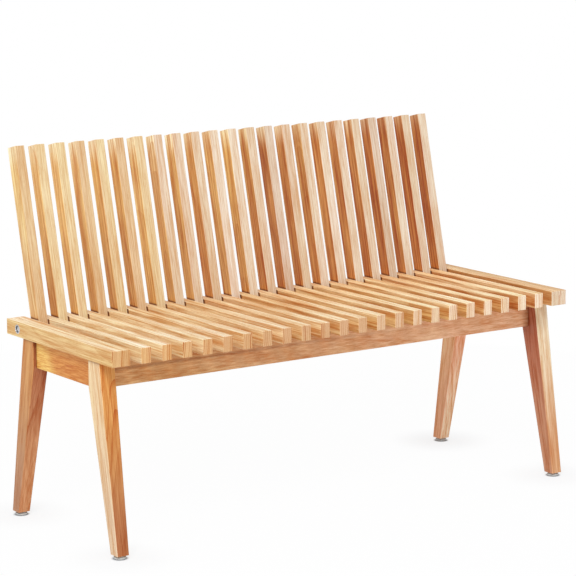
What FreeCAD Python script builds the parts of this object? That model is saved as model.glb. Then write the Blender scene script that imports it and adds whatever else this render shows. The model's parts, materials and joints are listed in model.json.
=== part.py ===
import FreeCAD, Part

import math
import os

from FreeCAD import Vector

# A slatted garden bench whose back folds down between the seat slats and makes a table top.
# Millimetres and degrees. X runs along the bench, Y from front to back, Z up from the floor.
# Depths are counted from the front ends of the seat slats, and heights from the floor.
# The shapes are built with the back raised.

# The whole bench
SEAT_LENGTH = 1200.0
SEAT_DEPTH = 436.0
SEAT_HEIGHT = 433.0

# Slats
SEAT_SLAT_COUNT = 22
BACK_SLAT_COUNT = SEAT_SLAT_COUNT + 1
SLAT_PITCH = 49.5
SLAT_WIDTH = 23.0
SLAT_HEIGHT = 33.0
SLAT_ROUNDING = 1.2
STRIP_ROUNDING = 0.8
BACK_SLAT_RELIEF = 0.15

# Pivot and stop of the back
PIVOT_DEPTH = 390.0
BACK_REACH = 388.0
BACK_LEAN = 13.6
ROD_RADIUS = 4.0
ROD_HOLE_RADIUS = 4.05
WASHER_THICKNESS = 1.6
WASHER_RADIUS = 8.0
WASHER_HOLE_RADIUS = 4.2
STOP_GAP = 0.3

# Cup and nut at each end of the rod
CUP_FLANGE_RADIUS = 10.0
CUP_FLANGE_THICKNESS = 1.2
CUP_OUTER_RADIUS = 8.6
CUP_INNER_RADIUS = 7.6
CUP_DEPTH = 8.0
CUP_FLOOR = 1.2
ROD_STUB_RADIUS = 3.0
ROD_STUB_RECESS = 1.0
ROD_NUT_FLATS = 10.0
ROD_NUT_THICKNESS = 5.0
NUT_BLANK_SHARE = 0.96

# Batten that ties the tails of the back slats
BATTEN_HALF_LENGTH = 552.0
BATTEN_WIDTH = 20.0
BATTEN_FROM_PIVOT = 24.0
BATTEN_NOTCH_DEPTH = 1.0
BATTEN_NOTCH_MARGIN = 1.5
BATTEN_ROUNDING = 1.0
BATTEN_SCREW_LENGTH = 24.0
BATTEN_SCREW_RADIUS = 2.0
BATTEN_SCREW_HEAD_RADIUS = 4.0
BATTEN_SCREW_HEAD_HEIGHT = 2.2

# Legs
LEG_INSET = 5.0
LEG_TOP_THICKNESS = 37.0
LEG_FOOT_THICKNESS = 28.0
LEG_TOP_FRONT = 61.0
LEG_TOP_BACK = 104.0
LEG_FOOT_FRONT = -2.0
LEG_FOOT_BACK = 26.0
LEG_ROUNDING = 2.0

# Aprons
APRON_HEIGHT = 59.0
APRON_THICKNESS = 22.0
APRON_FRONT_DEPTH = 80.0
END_APRON_INSET = 12.0
APRON_ROUNDING = 1.5

# Screws from the aprons up into the seat
SEAT_SCREW_RADIUS = 2.25
SEAT_SCREW_HEAD_RADIUS = 4.25
SEAT_SCREW_HEAD_HEIGHT = 3.0
SEAT_SCREW_BITE = 18.0
SEAT_SCREW_GRIP = 27.0
SEAT_SCREW_COUNTERBORE_RADIUS = 4.8
END_SCREW_INSET = 26.0
END_SCREW_SPACING = 136.0

# Corner blocks and the hanger bolts that hold the legs
BLOCK_HEIGHT = 45.0
BLOCK_NEAR_LEG = 28.0
BLOCK_WING = 31.0
BOLT_RADIUS = 4.0
BOLT_HOLE_RADIUS = 4.5
BOLT_BITE = 22.0
BOLT_SPARE = 14.0
BOLT_NUT_FLATS = 13.0
BOLT_NUT_THICKNESS = 6.5

# Glides under the feet
GLIDE_RADIUS = 13.0
GLIDE_HEIGHT = 8.0
GLIDE_ROUNDING = 1.5
NAIL_RADIUS = 1.6
NAIL_HEAD_RADIUS = 4.0
NAIL_HEAD_THICKNESS = 1.2
NAIL_RECESS = 3.0
NAIL_BITE = 16.0

# Worked out from the sizes above
SLAT_UNDERSIDE = SEAT_HEIGHT - SLAT_HEIGHT
APRON_BOTTOM = SLAT_UNDERSIDE - APRON_HEIGHT
APRON_MIDDLE = SLAT_UNDERSIDE - APRON_HEIGHT / 2
PIVOT_HEIGHT = SEAT_HEIGHT - SLAT_HEIGHT / 2
BACK_HALF_HEIGHT = SLAT_HEIGHT / 2 - BACK_SLAT_RELIEF
TAIL_LENGTH = SEAT_DEPTH - PIVOT_DEPTH
HALF_LENGTH = SEAT_LENGTH / 2
SIDE_CLEARANCE = (SLAT_PITCH - 2 * SLAT_WIDTH) / 2
END_BOARD_INNER_FACE = SLAT_PITCH * (BACK_SLAT_COUNT - 1) / 2 + SLAT_PITCH / 2 - SLAT_WIDTH / 2
STRIP_WIDTH = (HALF_LENGTH - END_BOARD_INNER_FACE) / 2
REAR_APRON_BACK = SEAT_DEPTH - APRON_FRONT_DEPTH
LEAN_SINE = math.sin(math.radians(BACK_LEAN))
LEAN_COSINE = math.cos(math.radians(BACK_LEAN))

# The batten is as thick as it takes for its lower edge to meet the rear apron at the wanted lean.
BATTEN_END = BATTEN_FROM_PIVOT + BATTEN_WIDTH
BATTEN_OUTER_FACE = (PIVOT_DEPTH - REAR_APRON_BACK - STOP_GAP - BATTEN_END * LEAN_SINE) / LEAN_COSINE
BATTEN_THICKNESS = BATTEN_OUTER_FACE - BACK_HALF_HEIGHT

# The origin is on the floor, under the middle of the bench's box with the back raised.
TOP_ARC_REACH = BACK_REACH - SLAT_ROUNDING
TOP_ARC_OFFSET = BACK_HALF_HEIGHT - SLAT_ROUNDING
TOP_ARC_DEPTH = PIVOT_DEPTH + TOP_ARC_REACH * LEAN_SINE + TOP_ARC_OFFSET * LEAN_COSINE
ORIGIN_DEPTH = (LEG_FOOT_FRONT + TOP_ARC_DEPTH + SLAT_ROUNDING) / 2

ALONG_X = Vector(1, 0, 0)
ALONG_Y = Vector(0, 1, 0)
ALONG_Z = Vector(0, 0, 1)
INTO_FRAME = Vector(1, 1, 0).normalize()
EPSILON = 0.01


def place(x, depth, height):
    """A point of the bench, from its depth behind the slats' front ends."""
    return Vector(x, depth - ORIGIN_DEPTH, height)


def board(x_range, depth_range, height_range, rounding=0.0):
    """A straight board between three pairs of faces, with all its edges eased."""
    size = [high - low for low, high in (x_range, depth_range, height_range)]
    corner = place(x_range[0], depth_range[0], height_range[0])
    solid = Part.makeBox(size[0], size[1], size[2], corner)
    if rounding:
        solid = solid.makeFillet(rounding, solid.Edges)
    return solid


def prism(points, travel):
    """A flat outline pushed along a straight line."""
    outline = Part.makePolygon(points + [points[0]])
    return Part.Face(outline).extrude(travel)


def ring(centre, axis, outer_radius, inner_radius, thickness):
    """A flat round ring."""
    outer = Part.makeCylinder(outer_radius, thickness, centre, axis)
    inner = Part.makeCylinder(inner_radius, thickness + 2 * EPSILON, centre - axis * EPSILON, axis)
    return outer.cut(inner)


def hex_nut(centre, axis, across_flats, hole_radius, thickness):
    """A six-sided nut, its corners turned off round."""
    corner_radius = across_flats / math.sqrt(3)
    points = []
    for step in range(6):
        angle = math.radians(60 * step)
        points.append(Vector(corner_radius * math.cos(angle), corner_radius * math.sin(angle), 0))
    body = prism(points, ALONG_Z * thickness)
    body = body.common(Part.makeCylinder(corner_radius * NUT_BLANK_SHARE, thickness))
    body = body.cut(Part.makeCylinder(hole_radius, thickness))
    body.Placement = FreeCAD.Placement(centre, FreeCAD.Rotation(ALONG_Z, axis))
    return body


def both_ends(shape):
    """The shape and its mirror image at the bench's other end."""
    return [shape, shape.mirror(Vector(0, 0, 0), ALONG_X)]


def mirrored_to_rear(shape):
    """The shape's mirror image behind the middle of the seat."""
    return shape.mirror(place(0, SEAT_DEPTH / 2, 0), ALONG_Y)


def four_corners(shape):
    """A front left shape, with its mirror images at the other three corners."""
    return both_ends(shape) + both_ends(mirrored_to_rear(shape))


def seat_slat_middle(number):
    """X of the middle of a seat slat, counted from 1 at the left."""
    return (number - (SEAT_SLAT_COUNT + 1) / 2) * SLAT_PITCH


def back_slat_middle(number):
    """X of the middle of a back slat, counted from 1 at the left."""
    return (number - (BACK_SLAT_COUNT + 1) / 2) * SLAT_PITCH


def apron_screw_depths():
    """Depths of the middles of the front and the rear apron."""
    front = APRON_FRONT_DEPTH + APRON_THICKNESS / 2
    return [front, SEAT_DEPTH - front]


def end_screw_places():
    """X and depth of the screws up through the left apron, into the inner strip of the end board."""
    x = -HALF_LENGTH + END_SCREW_INSET
    offset = END_SCREW_SPACING / 2
    return [(x, SEAT_DEPTH / 2 - offset), (x, SEAT_DEPTH / 2 + offset)]


def rod_hole():
    """The drilling for the pivot rod, right through the bench."""
    start = place(-HALF_LENGTH, PIVOT_DEPTH, PIVOT_HEIGHT)
    return Part.makeCylinder(ROD_HOLE_RADIUS, SEAT_LENGTH, start, ALONG_X)


def screw_pilot(x, depth):
    """The pilot hole of a seat screw, in a slat or an end board."""
    return Part.makeCylinder(SEAT_SCREW_RADIUS, SEAT_SCREW_BITE, place(x, depth, SLAT_UNDERSIDE), ALONG_Z)


def seat_slat(number):
    """One seat slat, drilled for the rod and for its two screws."""
    middle = seat_slat_middle(number)
    x_range = (middle - SLAT_WIDTH / 2, middle + SLAT_WIDTH / 2)
    slat = board(x_range, (0, SEAT_DEPTH), (SLAT_UNDERSIDE, SEAT_HEIGHT), SLAT_ROUNDING)
    slat = slat.cut(rod_hole())
    for depth in apron_screw_depths():
        slat = slat.cut(screw_pilot(middle, depth))
    return slat


def left_end_strip(outer):
    """One of the two strips glued side by side that make the left end board."""
    start = -HALF_LENGTH if outer else -HALF_LENGTH + STRIP_WIDTH
    heights = (SLAT_UNDERSIDE, SEAT_HEIGHT)
    strip = board((start, start + STRIP_WIDTH), (0, SEAT_DEPTH), heights, STRIP_ROUNDING)
    strip = strip.cut(rod_hole())
    face = place(-HALF_LENGTH, PIVOT_DEPTH, PIVOT_HEIGHT)
    strip = strip.cut(Part.makeCylinder(CUP_FLANGE_RADIUS, CUP_FLANGE_THICKNESS, face, ALONG_X))
    strip = strip.cut(Part.makeCylinder(CUP_OUTER_RADIUS, CUP_DEPTH, face, ALONG_X))
    for x, depth in end_screw_places():
        strip = strip.cut(screw_pilot(x, depth))
    return strip


def raise_back(shape):
    """Turns a shape of the folded back, drawn about the pivot, up to the raised back."""
    shape.rotate(Vector(0, 0, 0), ALONG_X, -(90 + BACK_LEAN))
    shape.translate(place(0, PIVOT_DEPTH, PIVOT_HEIGHT))
    return shape


def batten_screw_middle():
    """Distance of the batten's screws from the pivot."""
    return BATTEN_FROM_PIVOT + BATTEN_WIDTH / 2


def batten_screw(x):
    """One countersunk screw, drawn about the pivot with the back folded."""
    bottom = Vector(x, batten_screw_middle(), -BATTEN_OUTER_FACE)
    head = Part.makeCone(BATTEN_SCREW_HEAD_RADIUS, BATTEN_SCREW_RADIUS, BATTEN_SCREW_HEAD_HEIGHT,
                         bottom, ALONG_Z)
    shank = Part.makeCylinder(BATTEN_SCREW_RADIUS, BATTEN_SCREW_LENGTH, bottom, ALONG_Z)
    return head.fuse(shank).removeSplitter()


def back_slat(number):
    """One back slat, turning on the rod, with the pilot hole of its batten screw."""
    middle = back_slat_middle(number)
    corner = Vector(middle - SLAT_WIDTH / 2, -BACK_REACH, -BACK_HALF_HEIGHT)
    slat = Part.makeBox(SLAT_WIDTH, BACK_REACH + TAIL_LENGTH, 2 * BACK_HALF_HEIGHT, corner)
    slat = slat.makeFillet(SLAT_ROUNDING, slat.Edges)
    hole_start = Vector(middle - SLAT_WIDTH, 0, 0)
    slat = slat.cut(Part.makeCylinder(ROD_HOLE_RADIUS, 2 * SLAT_WIDTH, hole_start, ALONG_X))
    slat = slat.cut(batten_screw(middle))
    return raise_back(slat)


def tie_batten():
    """The batten across the tails, notched under each seat slat so that it swings clear."""
    corner = Vector(-BATTEN_HALF_LENGTH, BATTEN_FROM_PIVOT, -BATTEN_OUTER_FACE)
    batten = Part.makeBox(2 * BATTEN_HALF_LENGTH, BATTEN_WIDTH, BATTEN_THICKNESS, corner)
    outer_edges = [edge for edge in batten.Edges if edge.BoundBox.ZMax < -BATTEN_OUTER_FACE + EPSILON]
    batten = batten.makeFillet(BATTEN_ROUNDING, outer_edges)
    notch_width = SLAT_WIDTH + 2 * BATTEN_NOTCH_MARGIN
    for number in range(1, SEAT_SLAT_COUNT + 1):
        start = seat_slat_middle(number) - notch_width / 2
        low = Vector(start, BATTEN_FROM_PIVOT, -BACK_HALF_HEIGHT - BATTEN_NOTCH_DEPTH)
        batten = batten.cut(Part.makeBox(notch_width, BATTEN_WIDTH, BATTEN_NOTCH_DEPTH, low))
    for number in range(1, BACK_SLAT_COUNT + 1):
        batten = batten.cut(batten_screw(back_slat_middle(number)))
    return raise_back(batten)


def batten_screws():
    """All the batten's screws."""
    screws = []
    for number in range(1, BACK_SLAT_COUNT + 1):
        screws.append(raise_back(batten_screw(back_slat_middle(number))))
    return screws


def pivot_rod():
    """The steel rod, turned down to a stub at each end."""
    shoulder = HALF_LENGTH - CUP_DEPTH
    stub_end = HALF_LENGTH - ROD_STUB_RECESS
    thick = Part.makeCylinder(ROD_RADIUS, 2 * shoulder, place(-shoulder, PIVOT_DEPTH, PIVOT_HEIGHT), ALONG_X)
    stub_start = place(-stub_end, PIVOT_DEPTH, PIVOT_HEIGHT)
    thin = Part.makeCylinder(ROD_STUB_RADIUS, 2 * stub_end, stub_start, ALONG_X)
    return thick.fuse(thin).removeSplitter()


def left_end_cup():
    """The flanged steel cup let into the left end board, round the rod's stub."""
    face = place(-HALF_LENGTH, PIVOT_DEPTH, PIVOT_HEIGHT)
    flange = Part.makeCylinder(CUP_FLANGE_RADIUS, CUP_FLANGE_THICKNESS, face, ALONG_X)
    body = Part.makeCylinder(CUP_OUTER_RADIUS, CUP_DEPTH, face, ALONG_X)
    cup = flange.fuse(body).removeSplitter()
    cup = cup.cut(Part.makeCylinder(CUP_INNER_RADIUS, CUP_DEPTH - CUP_FLOOR, face, ALONG_X))
    return cup.cut(Part.makeCylinder(ROD_STUB_RADIUS, CUP_DEPTH, face, ALONG_X))


def left_end_nut():
    """The nut on the rod's left stub, seated on the cup's floor."""
    outer_side = -HALF_LENGTH + CUP_DEPTH - CUP_FLOOR - ROD_NUT_THICKNESS
    centre = place(outer_side, PIVOT_DEPTH, PIVOT_HEIGHT)
    return hex_nut(centre, ALONG_X, ROD_NUT_FLATS, ROD_STUB_RADIUS, ROD_NUT_THICKNESS)


def pivot_washers():
    """A washer in the middle of each side clearance, on both sides of every back slat."""
    washers = []
    for number in range(1, BACK_SLAT_COUNT + 1):
        for side in (-1, 1):
            gap_middle = back_slat_middle(number) + side * (SLAT_WIDTH + SIDE_CLEARANCE) / 2
            centre = place(gap_middle - WASHER_THICKNESS / 2, PIVOT_DEPTH, PIVOT_HEIGHT)
            washers.append(ring(centre, ALONG_X, WASHER_RADIUS, WASHER_HOLE_RADIUS, WASHER_THICKNESS))
    return washers


def leg_inner_corner():
    """Where the bolt leaves the front left leg: its upright inner corner, at the aprons' middle height."""
    return place(-HALF_LENGTH + LEG_INSET + LEG_TOP_THICKNESS, LEG_TOP_BACK, APRON_MIDDLE)


def apron_inner_corner():
    """Where the inner faces of the front and the left apron would meet."""
    x = -HALF_LENGTH + END_APRON_INSET + APRON_THICKNESS
    return place(x, APRON_FRONT_DEPTH + APRON_THICKNESS, APRON_MIDDLE)


def block_far_distance():
    """How far along the bolt, from the leg's corner, the washer lies on the block."""
    leg_past_aprons = leg_inner_corner() - apron_inner_corner()
    far = BLOCK_NEAR_LEG + BLOCK_WING
    return (far - leg_past_aprons.x - leg_past_aprons.y) / math.sqrt(2)


def bolt_cylinder(radius):
    """A cylinder along the front left bolt, from inside the leg to past the nut."""
    start = leg_inner_corner() - INTO_FRAME * BOLT_BITE
    return Part.makeCylinder(radius, BOLT_BITE + block_far_distance() + BOLT_SPARE, start, INTO_FRAME)


def bolt_washer():
    """The washer between the front left block and its nut."""
    seat = leg_inner_corner() + INTO_FRAME * block_far_distance()
    return ring(seat, INTO_FRAME, WASHER_RADIUS, WASHER_HOLE_RADIUS, WASHER_THICKNESS)


def bolt_nut():
    """The nut on the front left bolt."""
    seat = leg_inner_corner() + INTO_FRAME * (block_far_distance() + WASHER_THICKNESS)
    return hex_nut(seat, INTO_FRAME, BOLT_NUT_FLATS, BOLT_RADIUS, BOLT_NUT_THICKNESS)


def corner_block():
    """The front left block: a thick board set across the corner, its ends cut to lie on both aprons."""
    base = apron_inner_corner() - ALONG_Z * (BLOCK_HEIGHT / 2)
    far = BLOCK_NEAR_LEG + BLOCK_WING
    points = [
        base + ALONG_X * BLOCK_NEAR_LEG,
        base + ALONG_X * far,
        base + ALONG_Y * far,
        base + ALONG_Y * BLOCK_NEAR_LEG,
    ]
    return prism(points, ALONG_Z * BLOCK_HEIGHT).cut(bolt_cylinder(BOLT_HOLE_RADIUS))


def glide_centre():
    """The middle of the front left foot, on the floor."""
    x = -HALF_LENGTH + LEG_INSET + LEG_FOOT_THICKNESS / 2
    return place(x, (LEG_FOOT_FRONT + LEG_FOOT_BACK) / 2, 0)


def glide_nail():
    """The nail of the front left glide, its head sunk in the glide."""
    head_start = glide_centre() + ALONG_Z * NAIL_RECESS
    head = Part.makeCylinder(NAIL_HEAD_RADIUS, NAIL_HEAD_THICKNESS, head_start, ALONG_Z)
    length = GLIDE_HEIGHT - NAIL_RECESS + NAIL_BITE
    shank = Part.makeCylinder(NAIL_RADIUS, length, head_start, ALONG_Z)
    return head.fuse(shank).removeSplitter()


def glide():
    """The front left glide: a round plastic foot with its lower edge rounded."""
    disc = Part.makeCylinder(GLIDE_RADIUS, GLIDE_HEIGHT, glide_centre(), ALONG_Z)
    floor_edge = [edge for edge in disc.Edges if edge.BoundBox.ZMax < EPSILON]
    disc = disc.makeFillet(GLIDE_ROUNDING, floor_edge)
    disc = disc.cut(Part.makeCylinder(NAIL_HEAD_RADIUS, NAIL_RECESS, glide_centre(), ALONG_Z))
    return disc.cut(glide_nail())


def leg_side_profile():
    """The front left leg's side, on its upright outer face: splayed and tapered below the apron."""
    x = -HALF_LENGTH + LEG_INSET
    return [
        place(x, LEG_TOP_FRONT, SLAT_UNDERSIDE),
        place(x, LEG_TOP_BACK, SLAT_UNDERSIDE),
        place(x, LEG_TOP_BACK, APRON_BOTTOM),
        place(x, LEG_FOOT_BACK, GLIDE_HEIGHT),
        place(x, LEG_FOOT_FRONT, GLIDE_HEIGHT),
    ]


def leg_front_profile():
    """The same leg from the front: its inner face slopes out towards the foot."""
    x = -HALF_LENGTH + LEG_INSET
    return [
        place(x, LEG_FOOT_FRONT, SLAT_UNDERSIDE),
        place(x + LEG_TOP_THICKNESS, LEG_FOOT_FRONT, SLAT_UNDERSIDE),
        place(x + LEG_FOOT_THICKNESS, LEG_FOOT_FRONT, GLIDE_HEIGHT),
        place(x, LEG_FOOT_FRONT, GLIDE_HEIGHT),
    ]


def leg():
    """The front left leg, where its two profiles cross, with its long edges eased and its holes bored."""
    from_the_side = prism(leg_side_profile(), ALONG_X * LEG_TOP_THICKNESS)
    from_the_front = prism(leg_front_profile(), ALONG_Y * (LEG_TOP_BACK - LEG_FOOT_FRONT))
    solid = from_the_side.common(from_the_front)
    long_edges = [edge for edge in solid.Edges if edge.BoundBox.ZLength > EPSILON]
    solid = solid.makeFillet(LEG_ROUNDING, long_edges)
    solid = solid.cut(bolt_cylinder(BOLT_RADIUS))
    nail_start = glide_centre() + ALONG_Z * GLIDE_HEIGHT
    return solid.cut(Part.makeCylinder(NAIL_RADIUS, NAIL_BITE, nail_start, ALONG_Z))


def screw_drilling(x, depth):
    """The deep counterbore from below and the clearance hole of one seat screw, in an apron."""
    head_side = SLAT_UNDERSIDE - SEAT_SCREW_GRIP
    bottom = place(x, depth, APRON_BOTTOM)
    counterbore = Part.makeCylinder(SEAT_SCREW_COUNTERBORE_RADIUS, head_side - APRON_BOTTOM, bottom, ALONG_Z)
    shank_hole = Part.makeCylinder(SEAT_SCREW_RADIUS, SEAT_SCREW_GRIP, place(x, depth, head_side), ALONG_Z)
    return counterbore.fuse(shank_hole)


def seat_screw(x, depth):
    """One screw, its head in the counterbore and its point in the slat."""
    head_side = SLAT_UNDERSIDE - SEAT_SCREW_GRIP
    head_start = place(x, depth, head_side - SEAT_SCREW_HEAD_HEIGHT)
    head = Part.makeCylinder(SEAT_SCREW_HEAD_RADIUS, SEAT_SCREW_HEAD_HEIGHT, head_start, ALONG_Z)
    length = SEAT_SCREW_HEAD_HEIGHT + SEAT_SCREW_GRIP + SEAT_SCREW_BITE
    shank = Part.makeCylinder(SEAT_SCREW_RADIUS, length, head_start, ALONG_Z)
    return head.fuse(shank).removeSplitter()


def seat_screws():
    """Every screw between the aprons and the seat."""
    screws = []
    for number in range(1, SEAT_SLAT_COUNT + 1):
        for depth in apron_screw_depths():
            screws.append(seat_screw(seat_slat_middle(number), depth))
    for x, depth in end_screw_places():
        screws += both_ends(seat_screw(x, depth))
    return screws


def apron_board(x_range, depth_range):
    """An apron under the slats, with its two long lower edges eased."""
    apron = board(x_range, depth_range, (APRON_BOTTOM, SLAT_UNDERSIDE))
    lower_edges = []
    for edge in apron.Edges:
        if edge.BoundBox.ZMax < APRON_BOTTOM + EPSILON and edge.Length > APRON_THICKNESS + EPSILON:
            lower_edges.append(edge)
    return apron.makeFillet(APRON_ROUNDING, lower_edges)


def front_apron(front_legs):
    """The front apron, its ends cut to the slope of the legs and grooved where the bolts pass."""
    reach = HALF_LENGTH - LEG_INSET - LEG_FOOT_THICKNESS
    apron = apron_board((-reach, reach), (APRON_FRONT_DEPTH, APRON_FRONT_DEPTH + APRON_THICKNESS))
    for cutter in front_legs + both_ends(bolt_cylinder(BOLT_HOLE_RADIUS)):
        apron = apron.cut(cutter)
    apron = max(apron.Solids, key=lambda solid: solid.Volume)
    depth = apron_screw_depths()[0]
    for number in range(1, SEAT_SLAT_COUNT + 1):
        apron = apron.cut(screw_drilling(seat_slat_middle(number), depth))
    return apron


def left_apron():
    """The left apron, between the front and the rear leg."""
    start = -HALF_LENGTH + END_APRON_INSET
    apron = apron_board((start, start + APRON_THICKNESS), (LEG_TOP_BACK, SEAT_DEPTH - LEG_TOP_BACK))
    for x, depth in end_screw_places():
        apron = apron.cut(screw_drilling(x, depth))
    return apron


def seat_nodes():
    """Seat slats in neighbouring pairs, and the four strips of the end boards."""
    nodes = {}
    for first in range(1, SEAT_SLAT_COUNT, 2):
        name = "seat_slats_%02d_%02d" % (first, first + 1)
        nodes[name] = [seat_slat(first), seat_slat(first + 1)]
    for outer, place_name in ((True, "outer"), (False, "inner")):
        left, right = both_ends(left_end_strip(outer))
        nodes["end_board_left_" + place_name] = [left]
        nodes["end_board_right_" + place_name] = [right]
    return nodes


def back_nodes():
    """The back slats, and the batten and screws that tie them."""
    nodes = {}
    for number in range(1, BACK_SLAT_COUNT + 1):
        nodes["back_slat_%02d" % number] = [back_slat(number)]
    nodes["tie_batten"] = [tie_batten()]
    nodes["tie_batten_screws"] = batten_screws()
    return nodes


def pivot_nodes():
    """The rod that the back turns on, and what is on it."""
    return {
        "pivot_rod": [pivot_rod()],
        "pivot_end_cups": both_ends(left_end_cup()),
        "pivot_end_nuts": both_ends(left_end_nut()),
        "pivot_washers": pivot_washers(),
    }


def base_nodes():
    """Legs, aprons, and what joins them to each other and to the seat."""
    legs = four_corners(leg())
    front = front_apron(legs[:2])
    left, right = both_ends(left_apron())
    return {
        "leg_front_left": [legs[0]],
        "leg_front_right": [legs[1]],
        "leg_rear_left": [legs[2]],
        "leg_rear_right": [legs[3]],
        "apron_front": [front],
        "apron_rear": [mirrored_to_rear(front)],
        "apron_left": [left],
        "apron_right": [right],
        "seat_screws": seat_screws(),
        "corner_blocks": four_corners(corner_block()),
        "hanger_bolts": four_corners(bolt_cylinder(BOLT_RADIUS)),
        "hanger_bolt_washers": four_corners(bolt_washer()),
        "hanger_bolt_nuts": four_corners(bolt_nut()),
        "foot_glides": four_corners(glide()),
        "foot_glide_nails": four_corners(glide_nail()),
    }


def write_node(name, solids):
    """Writes one sub-part, a single solid or a group of separate ones."""
    for solid in solids:
        if not solid.isValid():
            raise ValueError(name + " holds a broken solid")
    shape = solids[0] if len(solids) == 1 else Part.makeCompound(solids)
    shape.exportStep(os.path.join("parts", name + ".step"))
    return shape.BoundBox


os.makedirs("parts", exist_ok=True)
whole = FreeCAD.BoundBox()
for group in (seat_nodes(), back_nodes(), pivot_nodes(), base_nodes()):
    for node_name, node_solids in group.items():
        whole.add(write_node(node_name, node_solids))
print("box x %.2f %.2f y %.2f %.2f z %.2f %.2f"
      % (whole.XMin, whole.XMax, whole.YMin, whole.YMax, whole.ZMin, whole.ZMax))
print("pivot at y %.3f z %.3f" % (PIVOT_DEPTH - ORIGIN_DEPTH, PIVOT_HEIGHT))
print("batten thickness %.3f, end board strip %.3f" % (BATTEN_THICKNESS, STRIP_WIDTH))
print("glide at x %.3f y %.3f" % (glide_centre().x, glide_centre().y))
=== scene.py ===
import bmesh
import bpy
import json
import math
import numpy as np
from mathutils import Euler, Matrix, Vector


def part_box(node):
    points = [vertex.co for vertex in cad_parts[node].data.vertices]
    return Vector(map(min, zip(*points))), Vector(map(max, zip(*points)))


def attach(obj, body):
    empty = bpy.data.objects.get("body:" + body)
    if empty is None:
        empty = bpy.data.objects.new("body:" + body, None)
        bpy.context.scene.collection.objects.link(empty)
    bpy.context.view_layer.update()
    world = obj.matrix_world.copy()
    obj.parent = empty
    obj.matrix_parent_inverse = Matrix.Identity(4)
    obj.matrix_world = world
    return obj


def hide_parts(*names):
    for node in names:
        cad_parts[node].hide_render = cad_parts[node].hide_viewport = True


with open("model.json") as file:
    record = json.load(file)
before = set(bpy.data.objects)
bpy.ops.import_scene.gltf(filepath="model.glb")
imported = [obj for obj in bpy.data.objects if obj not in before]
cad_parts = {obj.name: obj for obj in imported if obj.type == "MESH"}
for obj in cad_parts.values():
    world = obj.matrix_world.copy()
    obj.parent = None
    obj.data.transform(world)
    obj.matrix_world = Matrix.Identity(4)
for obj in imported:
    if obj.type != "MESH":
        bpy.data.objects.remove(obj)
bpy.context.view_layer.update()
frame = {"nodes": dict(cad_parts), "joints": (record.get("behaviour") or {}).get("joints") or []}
nodes = frame["nodes"]

# Legs. Each is sawn from its own plank of oiled hardwood, tapered both ways and splayed to the front
# or the back. One plank ran from pale sapwood to gold, the others to a reddish or purplish heart, and
# the tone drifts from the top of a leg to its foot.

QUARTER_TURN = math.pi / 2
LEG_SPLAY = math.radians(10.1)
# The heights that the tone drifts between
LEG_TOP = 0.36
LEG_FOOT = 0.05

# What a deeper place in the grain makes of a tone, and what a paler place makes of it
GRAIN_STAIN = (0.80, 0.54, 0.34)
GRAIN_BLEACH = (1.26, 1.52, 1.80)

# Wood leans now to yellow and now to red
YELLOW_SHARE = (0.998, 1.004, 0.98)
RED_SHARE = (1.003, 0.988, 1.01)

# Spots of each kind of figure to the metre, across the grain and along it
DRIFT_SPOTS = (14.0, 2.4)
STREAK_SPOTS = (150.0, 5.0)
MOTTLE_SPOTS = (22.0, 5.0)
HUE_SPOTS = (30.0, 2.5)
FIBRE_SPOTS = (520.0, 14.0)
PORE_SPOTS = (1500.0, 70.0)

# Changes from ring to ring to the metre: in the bands, in how strong the lines are, and in the rings' widths
RING_TO_RING = (60.0, 90.0, 160.0)

# A trunk is so much wider for each metre down
TRUNK_TAPER = 0.03

GRAIN_TAKES = {"Place": "Vector", "Facing": "Vector", "Tone": "Color", "Wander": "Float",
               "Ring Width": "Float", "Lines": "Float", "Flat Lines": "Float", "Bands": "Float",
               "Streaks": "Float", "Flat Streaks": "Float", "Closeness": "Float"}
GRAIN_GIVES = {"Colour": "Color", "Roughness": "Float", "Height": "Float"}


def put(tree, kind, inputs=None, **settings):
    """Adds a shader node; each of its inputs is a value or another node's output."""
    made = tree.nodes.new("ShaderNode" + kind)
    for key, value in settings.items():
        setattr(made, key, value)
    for key, value in (inputs or {}).items():
        if isinstance(value, bpy.types.NodeSocket):
            tree.links.new(value, made.inputs[key])
        else:
            made.inputs[key].default_value = value
    return made


def reckon(tree, operation, *values):
    """One step of arithmetic on numbers."""
    return put(tree, "Math", dict(enumerate(values)), operation=operation).outputs[0]


def total(tree, first, *others):
    """The sum of several numbers."""
    for value in others:
        first = reckon(tree, "ADD", first, value)
    return first


def product(tree, first, *others):
    """The product of several numbers."""
    for value in others:
        first = reckon(tree, "MULTIPLY", first, value)
    return first


def spread(tree, value, low, high, new_low, new_high):
    """Maps a value smoothly from one range to another, without passing the new range's ends."""
    inputs = {"Value": value, "From Min": low, "From Max": high, "To Min": new_low, "To Max": new_high}
    return put(tree, "MapRange", inputs, interpolation_type="SMOOTHSTEP").outputs[0]


def arrow(tree, operation, *values, output="Vector"):
    """One step of arithmetic on arrows or colours."""
    return put(tree, "VectorMath", dict(enumerate(values)), operation=operation).outputs[output]


def blend_tones(tree, share, first, second):
    """The first tone, with a share of the second blended in."""
    return put(tree, "Mix", {0: share, 6: first, 7: second}, data_type="RGBA").outputs[2]


def figure_noise(tree, place, spots, detail=2.0, fine=0.5):
    """Noise with so many spots to the metre across the grain and along it, from 0 to 1. Each finer layer
    of it is so much weaker than the one before."""
    scaled = arrow(tree, "MULTIPLY", place, (spots[0], spots[1], spots[0]))
    inputs = {"Vector": scaled, "Scale": 1.0, "Detail": detail, "Roughness": fine}
    return put(tree, "TexNoise", inputs).outputs


def ring_noise(tree, radius, spots):
    """Noise that changes with the distance from the pith alone, from 0 to 1."""
    inputs = {"W": product(tree, radius, spots), "Scale": 1.0, "Detail": 2.0}
    return put(tree, "TexNoise", inputs, noise_dimensions="1D").outputs[0]


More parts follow.
